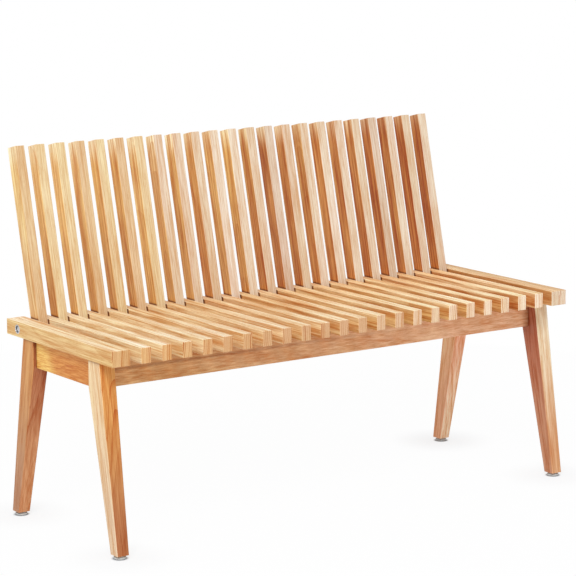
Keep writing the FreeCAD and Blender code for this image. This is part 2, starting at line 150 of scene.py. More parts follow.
def by_saw(tree, flat, crossed, along):
    """One strength where the saw crossed the rings, and another where it ran along them."""
    return put(tree, "Mix", {0: flat, 2: crossed, 3: along}).outputs[0]


# How square on to the trunk a surface is where end grain begins and where it is complete, and how square
# on to a ring it is where the saw begins to run along the ring and where it does
END_GRAIN_TURN = (0.3, 0.9)
FLAT_SAWN_TURN = (0.6, 0.97)
# Most of a noise lies in its span, which is drawn out to the whole range
NOISE_SPAN = (0.3, 0.7)
LINE_NOISE_SPAN = (0.38, 0.62)
# The lines of the rings on long grain and on end grain: how sharp, how weak at the weakest, how strong
LINE_SHARPNESS = (4.0, 8.0)
WEAKEST_LINE = (0.1, 0.45)
LINE_STRENGTH = (1.0, 2.6)
RING_UNEVENNESS = 1.8
FLAT_BAND_SHARE = 0.4


def growth_rings(tree, given, place, end_on):
    """The rings, as dark late lines, soft bands, and how flat the saw ran along them. A ring is a cone
    about the pith, r plus the taper times the way along the trunk, made to wander by noise. Its line is
    the fraction of the count of rings to a power, which swells outwards and then stops."""
    drift = arrow(tree, "SUBTRACT", figure_noise(tree, place, DRIFT_SPOTS)["Color"], (0.5, 0.5, 0.5))
    wander = put(tree, "VectorMath", {0: drift, "Scale": given["Wander"]}, operation="SCALE").outputs[0]
    outward = arrow(tree, "MULTIPLY", arrow(tree, "ADD", place, wander), (1, 0, 1))
    from_pith = arrow(tree, "LENGTH", outward, output="Value")
    along_trunk = put(tree, "SeparateXYZ", {0: place}).outputs["Y"]
    radius = total(tree, from_pith, product(tree, along_trunk, TRUNK_TAPER))
    outward = arrow(tree, "NORMALIZE", outward)
    square_on = arrow(tree, "DOT_PRODUCT", outward, given["Facing"], output="Value")
    flat = spread(tree, reckon(tree, "ABSOLUTE", square_on), *FLAT_SAWN_TURN, 0.0, 1.0)
    broad, middling, narrow = RING_TO_RING
    uneven = product(tree, ring_noise(tree, radius, narrow), RING_UNEVENNESS)
    count = total(tree, reckon(tree, "DIVIDE", radius, given["Ring Width"]), uneven)
    sharpness = spread(tree, end_on, *END_GRAIN_TURN, *LINE_SHARPNESS)
    line = reckon(tree, "POWER", reckon(tree, "FRACT", count), sharpness)
    weakest = spread(tree, end_on, *END_GRAIN_TURN, *WEAKEST_LINE)
    strong = spread(tree, ring_noise(tree, radius, middling), *LINE_NOISE_SPAN, weakest, 1.0)
    strength = by_saw(tree, flat, given["Lines"], given["Flat Lines"])
    line = product(tree, line, strong, strength, spread(tree, end_on, *END_GRAIN_TURN, *LINE_STRENGTH))
    band = spread(tree, ring_noise(tree, radius, broad), *NOISE_SPAN, -1.0, 1.0)
    band = product(tree, band, given["Bands"], by_saw(tree, flat, 1.0, FLAT_BAND_SHARE))
    return line, band, flat


# How square on to the nearest side a rounded edge with its painted highlight is at most, and a flat face at
# least
EDGE_HIGHLIGHT_TURN = (0.80, 0.985)
END_FIGURE_SHARE = 0.25
PORE_NOISE_SPAN = (0.60, 0.72)
HUE_NOISE_SPAN = (0.35, 0.65)
# How deep each kind of figure stains the wood, or bleaches it where less than 0
MOTTLE_DEPTH = 0.2
FIBRE_DEPTH = 0.45
PORE_DEPTH = 0.5
# Rounded edges are made paler, a painted highlight
EDGE_HIGHLIGHT_DEPTH = -0.20
PLAIN_DEPTH = -0.10
# How rough the wood is, and how far its figure stands up
PLAIN_ROUGHNESS = 0.5
FIBRE_ROUGHNESS = 0.07
PORE_ROUGHNESS = 0.15
FIBRE_HEIGHT = 0.5
PORE_HEIGHT = -1.0
LINE_HEIGHT = -0.7


def hardwood_grain():
    """The grain of a log, laid over a tone. Place is counted from the pith, with Y along the trunk, and
    Facing is the surface's direction in the same axes. To the rings come streaks, mottle, fibres and pores,
    which are noise drawn out along the trunk, and a painted highlight that makes rounded edges paler. They
    add up to a depth d, and the tone is multiplied by the stain to the power d, or by the bleach to the
    power -d."""
    tree = bpy.data.node_groups.new("hardwood_grain", "ShaderNodeTree")
    for name, kind in GRAIN_TAKES.items():
        tree.interface.new_socket(name, in_out="INPUT", socket_type="NodeSocket" + kind)
    for name, kind in GRAIN_GIVES.items():
        tree.interface.new_socket(name, in_out="OUTPUT", socket_type="NodeSocket" + kind)
    given = tree.nodes.new("NodeGroupInput").outputs
    result = tree.nodes.new("NodeGroupOutput").inputs

    drawn_in = put(tree, "CombineXYZ", {0: 1.0, 1: given["Closeness"], 2: 1.0}).outputs[0]
    place = arrow(tree, "MULTIPLY", given["Place"], drawn_in)
    facing = put(tree, "SeparateXYZ", {0: arrow(tree, "ABSOLUTE", given["Facing"])}).outputs
    squarest = reckon(tree, "MAXIMUM", reckon(tree, "MAXIMUM", facing["X"], facing["Y"]), facing["Z"])
    # Painted highlight on the rounded edges
    painted_edge_highlight = spread(tree, squarest, *EDGE_HIGHLIGHT_TURN, 1.0, 0.0)
    lengthwise = spread(tree, facing["Y"], *END_GRAIN_TURN, 1.0, END_FIGURE_SHARE)
    line, band, flat = growth_rings(tree, given, place, facing["Y"])

    streak = figure_noise(tree, place, STREAK_SPOTS, detail=3.0, fine=0.65)[0]
    streak = spread(tree, streak, *NOISE_SPAN, -1.0, 1.0)
    streak = product(tree, streak, by_saw(tree, flat, given["Streaks"], given["Flat Streaks"]))
    mottle = figure_noise(tree, place, MOTTLE_SPOTS)[0]
    mottle = spread(tree, mottle, *NOISE_SPAN, -MOTTLE_DEPTH, MOTTLE_DEPTH)
    fibre = figure_noise(tree, place, FIBRE_SPOTS, detail=3.0)[0]
    fibre = spread(tree, fibre, *NOISE_SPAN, -1.0, 1.0)
    pores = figure_noise(tree, place, PORE_SPOTS, detail=1.0)[0]
    pores = spread(tree, pores, *PORE_NOISE_SPAN, 0.0, 1.0)
    drawn_out = total(tree, streak, mottle, product(tree, fibre, FIBRE_DEPTH),
                      product(tree, pores, PORE_DEPTH))
    depth = total(tree, line, band, product(tree, drawn_out, lengthwise), product(tree, painted_edge_highlight, EDGE_HIGHLIGHT_DEPTH),
                  PLAIN_DEPTH)
    deeper = reckon(tree, "MAXIMUM", depth, 0.0)
    paler = reckon(tree, "MAXIMUM", product(tree, depth, -1.0), 0.0)
    stain = put(tree, "Gamma", {0: (*GRAIN_STAIN, 1), 1: deeper}).outputs[0]
    bleach = put(tree, "Gamma", {0: (*GRAIN_BLEACH, 1), 1: paler}).outputs[0]
    hue = spread(tree, figure_noise(tree, place, HUE_SPOTS)[0], *HUE_NOISE_SPAN, 0.0, 1.0)
    hue = blend_tones(tree, hue, (*YELLOW_SHARE, 1), (*RED_SHARE, 1))
    colour = arrow(tree, "MULTIPLY", arrow(tree, "MULTIPLY", given["Tone"], stain), bleach)
    roughness = total(tree, product(tree, fibre, FIBRE_ROUGHNESS), product(tree, pores, PORE_ROUGHNESS),
                      PLAIN_ROUGHNESS)
    height = total(tree, product(tree, fibre, FIBRE_HEIGHT), product(tree, pores, PORE_HEIGHT),
                   product(tree, line, LINE_HEIGHT))
    tree.links.new(arrow(tree, "MULTIPLY", colour, hue), result["Colour"])
    tree.links.new(roughness, result["Roughness"])
    tree.links.new(height, result["Height"])
    return tree


HARDWOOD_GRAIN = hardwood_grain()


def tone(red, green, blue):
    """A tone as read off a colour chart, from 0 to 255, in linear light. By the usual curve, light is in
    proportion to the darkest levels, and to a power of 2.4 above them."""
    levels = np.array([red, green, blue]) / 255
    return (*np.where(levels <= 0.04045, levels / 12.92, ((levels + 0.055) / 1.055) ** 2.4).tolist(), 1)


def middle(node_name):
    """The middle of a piece's box."""
    low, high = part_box(node_name)
    return (low + high) / 2


# Painted shade where pieces meet and little light gets in: the dark it goes to, and how far it reaches
PAINTED_SHADE_DARK = tone(140, 80, 42)
PAINTED_SHADE_REACH = 0.005

# How square on a surface is to the side or the end, or to the back, where their tones come in
SIDE_TURN = (0.4, 0.85)
BACK_TURN = (-0.85, -0.4)

OILED_GLOSS = 0.3
RELIEF_STRENGTH = 0.4
RELIEF_DEPTH = 0.0002


class Board:
    """The oiled wood of one piece. A turn brings the trunk of its log to Y. Across the log and along
    it, the pith lay so far from the middle of the piece."""

    def __init__(self, node_name, pith, turn=(0, 0, 0)):
        self.piece = nodes[node_name]
        self.material = bpy.data.materials.new(node_name + "_wood")
        self.material.use_nodes = True
        self.tree = self.material.node_tree
        coordinates = put(self.tree, "TexCoord").outputs
        self.bench_place = coordinates["Object"]
        self.lay_in_log(self.bench_place, coordinates["Normal"], middle(node_name), pith, turn)

    def lay_in_log(self, place, normal, start, pith, turn):
        """Places and directions as the log had them, counted from its pith."""
        pith_place = Euler(turn).to_matrix() @ start + Vector(pith)
        turned = {"Vector": place, "Location": -pith_place, "Rotation": turn}
        self.log_place = put(self.tree, "Mapping", turned).outputs[0]
        turned = {"Vector": normal, "Rotation": turn}
        self.facing = put(self.tree, "Mapping", turned, vector_type="VECTOR").outputs[0]

    def fade(self, axis, start, stop, first, last):
        """A tone that goes from the first to the last between two places on an axis of the bench."""
        place = put(self.tree, "SeparateXYZ", {0: self.bench_place}).outputs[axis]
        return blend_tones(self.tree, spread(self.tree, place, start, stop, 0.0, 1.0), first, last)

    def gone_over(self, wood_tone, distance, reach=PAINTED_SHADE_REACH, share=1.0, into=PAINTED_SHADE_DARK):
        """A tone gone over into another by a share, less and less out to its reach. Unless another tone is
        given, it is the dark of the painted shade at a joint."""
        near = spread(self.tree, distance, 0.0, reach, share, 0.0)
        return blend_tones(self.tree, near, wood_tone, into)

    def gone_over_at(self, wood_tone, *places, **how):
        """The same at several places, each on an axis of the bench."""
        for axis, place in places:
            along = put(self.tree, "SeparateXYZ", {0: self.bench_place}).outputs[axis]
            distance = reckon(self.tree, "ABSOLUTE", total(self.tree, along, -place))
            wood_tone = self.gone_over(wood_tone, distance, **how)
        return wood_tone

    def patch(self, point, reach, inside, outside):
        """One tone out to half its reach about a point, gone over into another at its reach."""
        away = arrow(self.tree, "DISTANCE", self.bench_place, point, output="Value")
        return blend_tones(self.tree, spread(self.tree, away, reach / 2, reach, 0.0, 1.0), inside, outside)

    def by_face(self, face, side, end, back):
        """One tone on the face, one on the sides, which look along X, one on the sawn ends, and one on the
        back, which looks down in the log."""
        parts = put(self.tree, "SeparateXYZ", {0: self.facing}).outputs
        backwards = spread(self.tree, parts["Z"], *BACK_TURN, 1.0, 0.0)
        sideways = spread(self.tree, reckon(self.tree, "ABSOLUTE", parts["X"]), *SIDE_TURN, 0.0, 1.0)
        lengthways = spread(self.tree, reckon(self.tree, "ABSOLUTE", parts["Y"]), *SIDE_TURN, 0.0, 1.0)
        face = blend_tones(self.tree, backwards, face, back)
        return blend_tones(self.tree, lengthways, blend_tones(self.tree, sideways, face, side), end)

    def oil(self, wood_tone, wander=0.005, ring=0.005, lines=(0.8, 0.2), bands=0.3, streaks=(0.3, 0.6),
            closeness=1.0):
        """Lays the grain over the tone and puts the finished wood on the piece. Lines and streaks each
        have a strength where the saw crossed the rings, and one where it ran along them."""
        inputs = {"Place": self.log_place, "Facing": self.facing, "Tone": wood_tone, "Wander": wander,
                  "Ring Width": ring, "Lines": lines[0], "Flat Lines": lines[1], "Bands": bands,
                  "Streaks": streaks[0], "Flat Streaks": streaks[1], "Closeness": closeness}
        grain = put(self.tree, "Group", inputs, node_tree=HARDWOOD_GRAIN).outputs
        shader = self.tree.nodes["Principled BSDF"]
        shader.inputs["Specular IOR Level"].default_value = OILED_GLOSS
        self.tree.links.new(grain["Colour"], shader.inputs["Base Color"])
        self.tree.links.new(grain["Roughness"], shader.inputs["Roughness"])
        relief = {"Height": grain["Height"], "Strength": RELIEF_STRENGTH, "Distance": RELIEF_DEPTH}
        self.tree.links.new(put(self.tree, "Bump", relief).outputs[0], shader.inputs["Normal"])
        self.piece.material_slots[0].material = self.material


# For each leg: its front and rear faces at the top and at the foot, then its sides at the same places
LEG_TONES = {
    "front_left": (tone(222, 155, 84), tone(178, 109, 65), tone(241, 206, 158), tone(226, 190, 150)),
    "front_right": (tone(239, 213, 175), tone(216, 158, 112), tone(182, 108, 79), tone(196, 138, 103)),
    "rear_left": (tone(176, 105, 66), tone(206, 140, 92), tone(208, 143, 82), tone(188, 136, 99)),
    "rear_right": (tone(255, 180, 138), tone(255, 209, 169), tone(255, 203, 148), tone(243, 176, 133)),
}
# Painted shade: the faces of the rear legs are darker up under the seat
REAR_SHADE_REACH = 0.075
REAR_SHADE_SHARE = 0.8
LEG_PITHS = {"front_left": (0.02, 1.0, -0.07), "front_right": (-0.09, 2.0, -0.03),
             "rear_left": (0.03, 3.0, -0.06), "rear_right": (-0.03, 4.0, -0.08)}
for corner, (face_top, face_foot, side_top, side_foot) in LEG_TONES.items():
    splay = LEG_SPLAY if corner.startswith("front") else -LEG_SPLAY
    leg = Board("leg_" + corner, LEG_PITHS[corner], (splay - QUARTER_TURN, 0, 0))
    face = leg.fade("Z", LEG_FOOT, LEG_TOP, face_foot, face_top)
    side = leg.fade("Z", LEG_FOOT, LEG_TOP, side_foot, side_top)
    leg_top = ("Z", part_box("leg_" + corner)[1].z)
    if corner.startswith("rear"):
        face = leg.gone_over_at(face, leg_top, reach=REAR_SHADE_REACH, share=REAR_SHADE_SHARE)
    # Painted shade at the top of each leg, under the seat
    leg_tone = leg.gone_over_at(leg.by_face(face, side, side, face), leg_top)
    leg.oil(leg_tone, wander=0.015, ring=0.004, lines=(0.6, 1.5), bands=0.2, streaks=(0.4, 0.6))

# Aprons. Four boards on edge join the legs under the slats. The long ones are a pinkish brown with short
# wavy streaks and a dark line a little below the top that fades towards the right, the short ones a warmer
# orange brown, with a patch of yellow sapwood at a lower corner. All four carry painted shade where they
# meet the legs and the seat above.

ALONG_BENCH = (0, 0, QUARTER_TURN)
LONG_APRON_PITH = (0.06, 0.0, -0.05)
LONG_APRON_LEFT = tone(216, 158, 103)
LONG_APRON_RIGHT = tone(240, 182, 138)
LEFT_TO_RIGHT = (-0.5, 0.5)
# A dark line along the long aprons a little below the top, fading towards the right
DARK_LINE_DEPTH = 0.0237
DARK_LINE_REACH = 0.0062
DARK_LINE_SHARE = 0.55
# Painted shade up under the slats and beside the right-hand legs
UNDER_SLATS_SHADE_REACH = 0.022
UNDER_SLATS_SHADE_SHARE = 0.3
RIGHT_END_SHADE_REACH = 0.025
RIGHT_END_SHADE_SHARE = 0.6
SHORT_APRON_PITH = (0.05, 0.0, -0.05)
SHORT_APRON = tone(218, 142, 68)
SAPWOOD = tone(246, 196, 108)
SAPWOOD_REACH = 0.09
for name in ("apron_front", "apron_rear"):
    apron = Board(name, LONG_APRON_PITH, ALONG_BENCH)
    low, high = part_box(name)
    top_edge = ("Z", high.z)
    right_end = ("X", high.x)
    dark_line = ("Z", high.z - DARK_LINE_DEPTH)
    left_tone = apron.gone_over_at(LONG_APRON_LEFT, dark_line, reach=DARK_LINE_REACH, share=DARK_LINE_SHARE)
    long_tone = apron.fade("X", *LEFT_TO_RIGHT, left_tone, LONG_APRON_RIGHT)
    long_tone = apron.gone_over_at(long_tone, top_edge, reach=UNDER_SLATS_SHADE_REACH, share=UNDER_SLATS_SHADE_SHARE)
    long_tone = apron.gone_over_at(long_tone, right_end, reach=RIGHT_END_SHADE_REACH, share=RIGHT_END_SHADE_SHARE)
    # Painted shade at both ends, where the apron meets the legs
    long_tone = apron.gone_over_at(long_tone, ("X", low.x), right_end)
    apron.oil(long_tone, wander=0.02, lines=(0.7, 0.35), bands=0.06, streaks=(0.3, 0.4), closeness=3.0)
for name in ("apron_left", "apron_right"):
    apron = Board(name, SHORT_APRON_PITH)
    low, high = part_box(name)
    lower_corner = (low.x, high.y, low.z)
    short_tone = apron.patch(lower_corner, SAPWOOD_REACH, SAPWOOD, SHORT_APRON)
    # Painted shade along the top and at both ends, where the apron meets the seat and the legs
    short_tone = apron.gone_over_at(short_tone, ("Z", high.z), ("Y", low.y), ("Y", high.y))
    apron.oil(short_tone, wander=0.03, lines=(0.8, 1.0), bands=0.12, streaks=(0.4, 0.5), closeness=2.5)

# Corner blocks and hanger bolts. A thick block lies across each corner behind the aprons. A bolt comes
# out of the leg and through the block, with a machine thread on its inner end, and a washer and a nut
# draw the leg up tight. All three are of zinc plated steel.

# The middle of one block, counted from the floor under the middle of the seat
BLOCK_MIDDLE = Vector((0.53, 0.115, 0.37))
BLOCK_PITH = (0.05, 0.0, -0.06)
BLOCK_TONE = tone(204, 148, 96)
BLOCK_LIE = (0, 0, math.radians(-45))
SEAT_MIDDLE_Y = (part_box("apron_front")[0].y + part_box("apron_rear")[1].y) / 2
BOLT_RADIUS = 0.004
BOLT_LENGTH = 0.07065
BOLT_THREAD_START = 0.040
BOLT_PITCH = 0.00125
BOLT_NUT_FROM_TIP = 0.0124
BOLT_NUT_FLATS = 0.013
BOLT_NUT_THICKNESS = 0.0065
# Rows of points to each turn of a thread, and points to each row
THREAD_ROWS = 6
THREAD_SIDES = 24
THREAD_DEPTH_SHARE = 0.55
NUT_SIDES = 6
SIXTH_TURN = math.radians(60)
CORNERS_TO_FLATS = 2 / math.sqrt(3)
WASHER_FACE_SHARE = 0.94
CHAMFER_SLOPE = math.tan(math.radians(30))
CHAMFER_ROWS = 6
ROUND_SIDES = 48
SHARP_EDGE = math.radians(32)
SAME_POINT = 1e-6


def mirrored_block(node_name):
    """The wood of all four blocks, which are each other's mirror images across the middle of the seat."""
    block = Board(node_name, (0, 0, 0))
    from_middle = arrow(block.tree, "SUBTRACT", block.bench_place, (0, SEAT_MIDDLE_Y, 0))
    quarter = arrow(block.tree, "ABSOLUTE", from_middle)
    sign = arrow(block.tree, "SIGN", from_middle)
    normal = arrow(block.tree, "MULTIPLY", put(block.tree, "TexCoord").outputs["Normal"], sign)
    block.lay_in_log(quarter, normal, BLOCK_MIDDLE, BLOCK_PITH, BLOCK_LIE)
    block.oil(BLOCK_TONE)


def around(radius, height, sides=ROUND_SIDES):
    """A surface about the Z axis. Each station of its outline has a height h and a radius r, the same
    all round or one for each angle a, and the point at a is (r cos a, r sin a, h)."""
    angle = np.arange(sides) * 2 * math.pi / sides
    radius = np.asarray(radius, float)
    height = np.asarray(height, float)
    radius = radius[:, None] if radius.ndim == 1 else radius
    height = height[:, None] if height.ndim == 1 else height
    radius, height, angle = np.broadcast_arrays(radius, height, angle[None, :])
    return np.stack([radius * np.cos(angle), radius * np.sin(angle), height], axis=-1)


def set_on(points, place, direction):
    """Turns a shape drawn up the Z axis to a direction, and moves its foot to a place."""
    turn = Vector((0, 0, 1)).rotation_difference(Vector(direction)).to_matrix()
    return points @ np.array(turn).T + np.array(place)


def closed_piece(name, grids, body, node_name, finish):
    """One piece from grids of points, each closed round its axis, which stands for a CAD node. Row i and
    row i + 1 of a grid are joined by four-sided faces, and rows of radius 0 become single points."""
    quads = []
    start = 0
    for grid in grids:
        stations, sides = grid.shape[:2]
        index = start + np.arange(stations * sides).reshape(stations, sides)
        ahead = np.roll(index, -1, axis=1)
        quads.append(np.stack([index[:-1], ahead[:-1], ahead[1:], index[1:]], axis=-1).reshape(-1, 4))
        start += stations * sides
    mesh = bpy.data.meshes.new(name)
    points = np.concatenate([grid.reshape(-1, 3) for grid in grids])
    mesh.from_pydata(points.tolist(), [], np.concatenate(quads).tolist())
    work = bmesh.new()
    work.from_mesh(mesh)
    bmesh.ops.remove_doubles(work, verts=work.verts, dist=SAME_POINT)
    bmesh.ops.recalc_face_normals(work, faces=work.faces)
    work.to_mesh(mesh)
    work.free()
    mesh.shade_smooth()
    mesh.set_sharp_from_angle(angle=SHARP_EDGE)
    mesh.materials.append(finish)
    piece = bpy.data.objects.new(name, mesh)
    bpy.context.scene.collection.objects.link(piece)
    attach(piece, body)
    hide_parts(node_name)


def threaded_bar(outline, thread_start, tip, thread_radius, pitch):
    """A round bar up the Z axis, from its outline, then a screw thread up to a chamfered tip. At height h
    and angle a the thread's radius is the full one less its depth times |2 f - 1|, with f the fraction of
    h / pitch - a / 2 pi, and near the tip no more than a cone allows."""
    rows = int((tip - thread_start) / pitch * THREAD_ROWS)
    height = np.linspace(thread_start, tip, rows)[:, None]
    turns = np.arange(THREAD_SIDES)[None, :] / THREAD_SIDES
    depth = THREAD_DEPTH_SHARE * pitch
    ridge = thread_radius - depth * np.abs(2 * ((height / pitch - turns) % 1.0) - 1)
    ridge = np.minimum(ridge, thread_radius - depth + (tip - height))
    plain_radius, plain_height = np.array(outline).T
    plain = np.tile(plain_radius[:, None], THREAD_SIDES)
    point = np.zeros((1, THREAD_SIDES))
    radius = np.concatenate([plain, ridge, point])
    return around(radius, np.concatenate([plain_height, height[:, 0], [tip]]), THREAD_SIDES)


def hex_nut(flats, thickness, hole):
    """A nut up the Z axis. Its sides are at r = (flats / 2) / cos a, with flats the width across them and
    a the angle from the middle of the nearest, and both ends are turned to a cone that takes off the
    corners."""
    from_flat = (np.arange(ROUND_SIDES) / ROUND_SIDES * NUT_SIDES + 0.5) % 1.0 - 0.5
    hexagon = flats / 2 / np.cos(from_flat * SIXTH_TURN)
    chamfer = flats / 2 * (CORNERS_TO_FLATS - WASHER_FACE_SHARE) * CHAMFER_SLOPE
    rise = np.linspace(0, chamfer, CHAMFER_ROWS)
    height = np.concatenate([rise, thickness - rise[::-1]])
    cone = flats / 2 * WASHER_FACE_SHARE + np.minimum(height, thickness - height) / CHAMFER_SLOPE
    outside = np.minimum(hexagon[None, :], cone[:, None])
    bore = np.full((1, ROUND_SIDES), hole)
    radius = np.concatenate([bore, outside, bore, bore])
    return around(radius, np.concatenate([[0.0], height, [thickness, 0.0]]))


# Clouds on metal are so many times wider than its fine marks, and darker. Both make it smoother or rougher.
CLOUD_WIDTH = 9
CLOUD_SHARE = 0.72
CLOUD_NOISE_SPAN = (0.35, 0.7)
SMOOTHER = 0.12
ROUGHER = 0.14
SKIN_DEPTH = 0.0001


def metal(name, colour, roughness, marks):
    """Bare or plated metal, its gloss broken by fine marks: so many to the metre, and how deep."""
    finish = bpy.data.materials.new(name)
    finish.use_nodes = True
    tree = finish.node_tree
    shader = tree.nodes["Principled BSDF"]
    shader.inputs["Metallic"].default_value = 1.0
    spots, strength = marks
    place = put(tree, "TexCoord").outputs["Object"]
    fine = put(tree, "TexNoise", {"Vector": place, "Scale": spots, "Detail": 4.0}).outputs[0]
    cloud = put(tree, "TexNoise", {"Vector": place, "Scale": spots / CLOUD_WIDTH, "Detail": 3.0}).outputs[0]
    dull = tuple(level * CLOUD_SHARE for level in colour)
    shade = blend_tones(tree, spread(tree, cloud, *CLOUD_NOISE_SPAN, 0.0, 1.0), (*colour, 1), (*dull, 1))
    tree.links.new(shade, shader.inputs["Base Color"])
    both = total(tree, product(tree, fine, 0.5), product(tree, cloud, 0.5))
    rough = spread(tree, both, *NOISE_SPAN, roughness - SMOOTHER, roughness + ROUGHER)
    tree.links.new(rough, shader.inputs["Roughness"])
    relief = {"Height": fine, "Strength": strength, "Distance": SKIN_DEPTH}
    tree.links.new(put(tree, "Bump", relief).outputs[0], shader.inputs["Normal"])
    return finish


mirrored_block("corner_blocks")
ZINC = metal("zinc_plate", colour=(0.64, 0.66, 0.68), roughness=0.38, marks=(900.0, 0.25))
nodes["hanger_bolt_washers"].material_slots[0].material = ZINC
bolt_outline = [(0.0, 0.0), (BOLT_RADIUS, 0.0), (BOLT_RADIUS, BOLT_THREAD_START)]
bolt = threaded_bar(bolt_outline, BOLT_THREAD_START, BOLT_LENGTH, BOLT_RADIUS, BOLT_PITCH)
bolt_nut = hex_nut(BOLT_NUT_FLATS, BOLT_NUT_THICKNESS, BOLT_RADIUS)
bolts_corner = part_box("hanger_bolts")[1]
bolt_in_leg = bolts_corner - Vector((1, 1, 0)) * BOLT_RADIUS * math.sqrt(0.5)
bolt_in_leg.z = middle("hanger_bolts").z
bolts = []
bolt_nuts = []
for x_side in (-1, 1):
    for y_side in (-1, 1):
        inward = Vector((-x_side, -y_side, 0)).normalized()
        y = SEAT_MIDDLE_Y + y_side * (bolt_in_leg.y - SEAT_MIDDLE_Y)
        start = Vector((x_side * bolt_in_leg.x, y, bolt_in_leg.z))
        bolts.append(set_on(bolt, start, inward))
        bolt_nuts.append(set_on(bolt_nut, start + inward * (BOLT_LENGTH - BOLT_NUT_FROM_TIP), inward))
closed_piece("threaded_hanger_bolts", bolts, "bench_frame", "hanger_bolts", ZINC)
closed_piece("chamfered_bolt_nuts", bolt_nuts, "bench_frame", "hanger_bolt_nuts", ZINC)

# Glides. A round foot of off-white plastic under each leg, moulded with a hollow for the head of the
# nail that holds it.

GLIDE_RADIUS = 0.013
GLIDE_OUTLINE = (
    (0.0, 3.0), (4.0, 3.0), (4.0, 0.8), (4.2, 0.2), (4.8, 0.0), (11.3, 0.0), (12.0, 0.13), (12.6, 0.5),
    (12.9, 1.1), (13.0, 1.8), (13.0, 3.3), (12.85, 3.9), (12.4, 4.3), (11.6, 4.5), (9.4, 4.6), (8.9, 4.8),
    (8.7, 5.3), (8.7, 8.0), (0.0, 8.0),
)
NAIL_OUTLINE = (
    (0.0, 3.0), (1.6, 3.05), (2.8, 3.25), (3.6, 3.6), (3.95, 4.0), (3.95, 4.2), (1.6, 4.2), (1.6, 21.0),
    (0.0, 24.0),
)
MILLIMETRE = 0.001
# Grains and scuffs to the metre, and how rough the plastic is where it is clean and where it is scuffed
MOULDED_GRAINS = 1800.0
SCUFFS = 420.0
SCUFF_NOISE_SPAN = (0.45, 0.75)
PLASTIC_ROUGHNESS = (0.42, 0.65)
MOULDED_RELIEF = 0.3


def turned(outline):
    """An outline of radii and heights in millimetres, turned round the Z axis."""
    radius, height = np.array(outline).T * MILLIMETRE
    return around(radius, height)


def moulded_plastic(name, colour, worn):
    """Matt plastic with a fine moulded skin, greyed in patches by use."""
    finish = bpy.data.materials.new(name)
    finish.use_nodes = True
    tree = finish.node_tree
    shader = tree.nodes["Principled BSDF"]
    place = put(tree, "TexCoord").outputs["Object"]
    skin = put(tree, "TexNoise", {"Vector": place, "Scale": MOULDED_GRAINS, "Detail": 3.0}).outputs[0]
    scuffs = put(tree, "TexNoise", {"Vector": place, "Scale": SCUFFS, "Detail": 5.0}).outputs[0]
    shade = blend_tones(tree, spread(tree, scuffs, *SCUFF_NOISE_SPAN, 0.0, 1.0), colour, worn)
    tree.links.new(shade, shader.inputs["Base Color"])
    rough = spread(tree, scuffs, *CLOUD_NOISE_SPAN, *PLASTIC_ROUGHNESS)
    tree.links.new(rough, shader.inputs["Roughness"])
    relief = {"Height": skin, "Strength": MOULDED_RELIEF, "Distance": SKIN_DEPTH}
    tree.links.new(put(tree, "Bump", relief).outputs[0], shader.inputs["Normal"])
    return finish


glide_low, glide_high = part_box("foot_glides")
glides = []
glide_nails = []
for x in (glide_low.x + GLIDE_RADIUS, glide_high.x - GLIDE_RADIUS):
    for y in (glide_low.y + GLIDE_RADIUS, glide_high.y - GLIDE_RADIUS):
        glides.append(set_on(turned(GLIDE_OUTLINE), (x, y, 0), (0, 0, 1)))
        glide_nails.append(set_on(turned(NAIL_OUTLINE), (x, y, 0), (0, 0, 1)))
GLIDE_PLASTIC = moulded_plastic("glide_plastic", colour=tone(204, 204, 201), worn=tone(180, 178, 173))
closed_piece("moulded_glides", glides, "bench_frame", "foot_glides", GLIDE_PLASTIC)
closed_piece("domed_glide_nails", glide_nails, "bench_frame", "foot_glide_nails", ZINC)

# Seat slats. Twenty-two single slats of the palest wood, from the front edge to the back. Their tops are
# sanded bright and darken towards the rear as painted shade from the backrest, their sides are darker,
# partly as oiled wood and partly as painted shade, their undersides hold more oil, and their sawn ends show
# the growth rings as upright lines.

SLAT_COUNT = 22
SEAT_FRONT = -0.247
SEAT_REAR = 0.10
# Each row runs from the left of the seat to the right
# The tops darken and turn more golden towards the rear, painted shade from the backrest
SEAT_TOPS_FRONT = (tone(251, 232, 201), tone(247, 221, 182), tone(255, 235, 194), tone(255, 231, 184))
SEAT_TOPS_REAR = (tone(246, 221, 178), tone(243, 207, 158), tone(255, 219, 168), tone(254, 208, 152))
# The sides are darker and redder than the tops, more so to the right, partly their own colour and partly
# painted shade
SEAT_SIDES = (tone(244, 212, 162), tone(233, 189, 135), tone(220, 167, 98), tone(219, 158, 98))
SEAT_ENDS = (tone(228, 177, 119), tone(218, 169, 120), tone(222, 176, 131), tone(241, 207, 170),
             tone(252, 226, 196))
SEAT_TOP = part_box("seat_slats_01_02")[1].z
SEAT_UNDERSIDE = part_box("seat_slats_01_02")[0].z
# Sides are paler near the top edge, partly sanded and partly painted light, and darker near the underside,
# partly oil and partly painted shade
PALE_AND_LIT = tone(250, 226, 182)
UPPER_EDGE_REACH = 0.013
UPPER_EDGE_SHARE = 0.32
LOWER_EDGE_REACH = 0.020
LOWER_EDGE_SHARE = 0.28
# Streaks are this strong on the left slats, and so much stronger on the right ones
LEFT_STREAKS = 0.6
STREAK_GROWTH = 0.7
# How near the pith of its log lay to a slat at the nearest, how low at the lowest, and the steps from there
NEAREST_PITH = 0.13
PITH_STEP = 0.021
LOWEST_PITH = -0.02
PITH_STEP_UP = 0.012
PITH_STEP_ALONG = 0.9
BACK_LEAN = math.radians(13.6)
FACE_WAY = Vector((0, -math.cos(BACK_LEAN), math.sin(BACK_LEAN)))
PIVOT = Vector(frame["joints"][0]["pos_m"])
BACK_SLAT_HALF_DEPTH = 0.0165


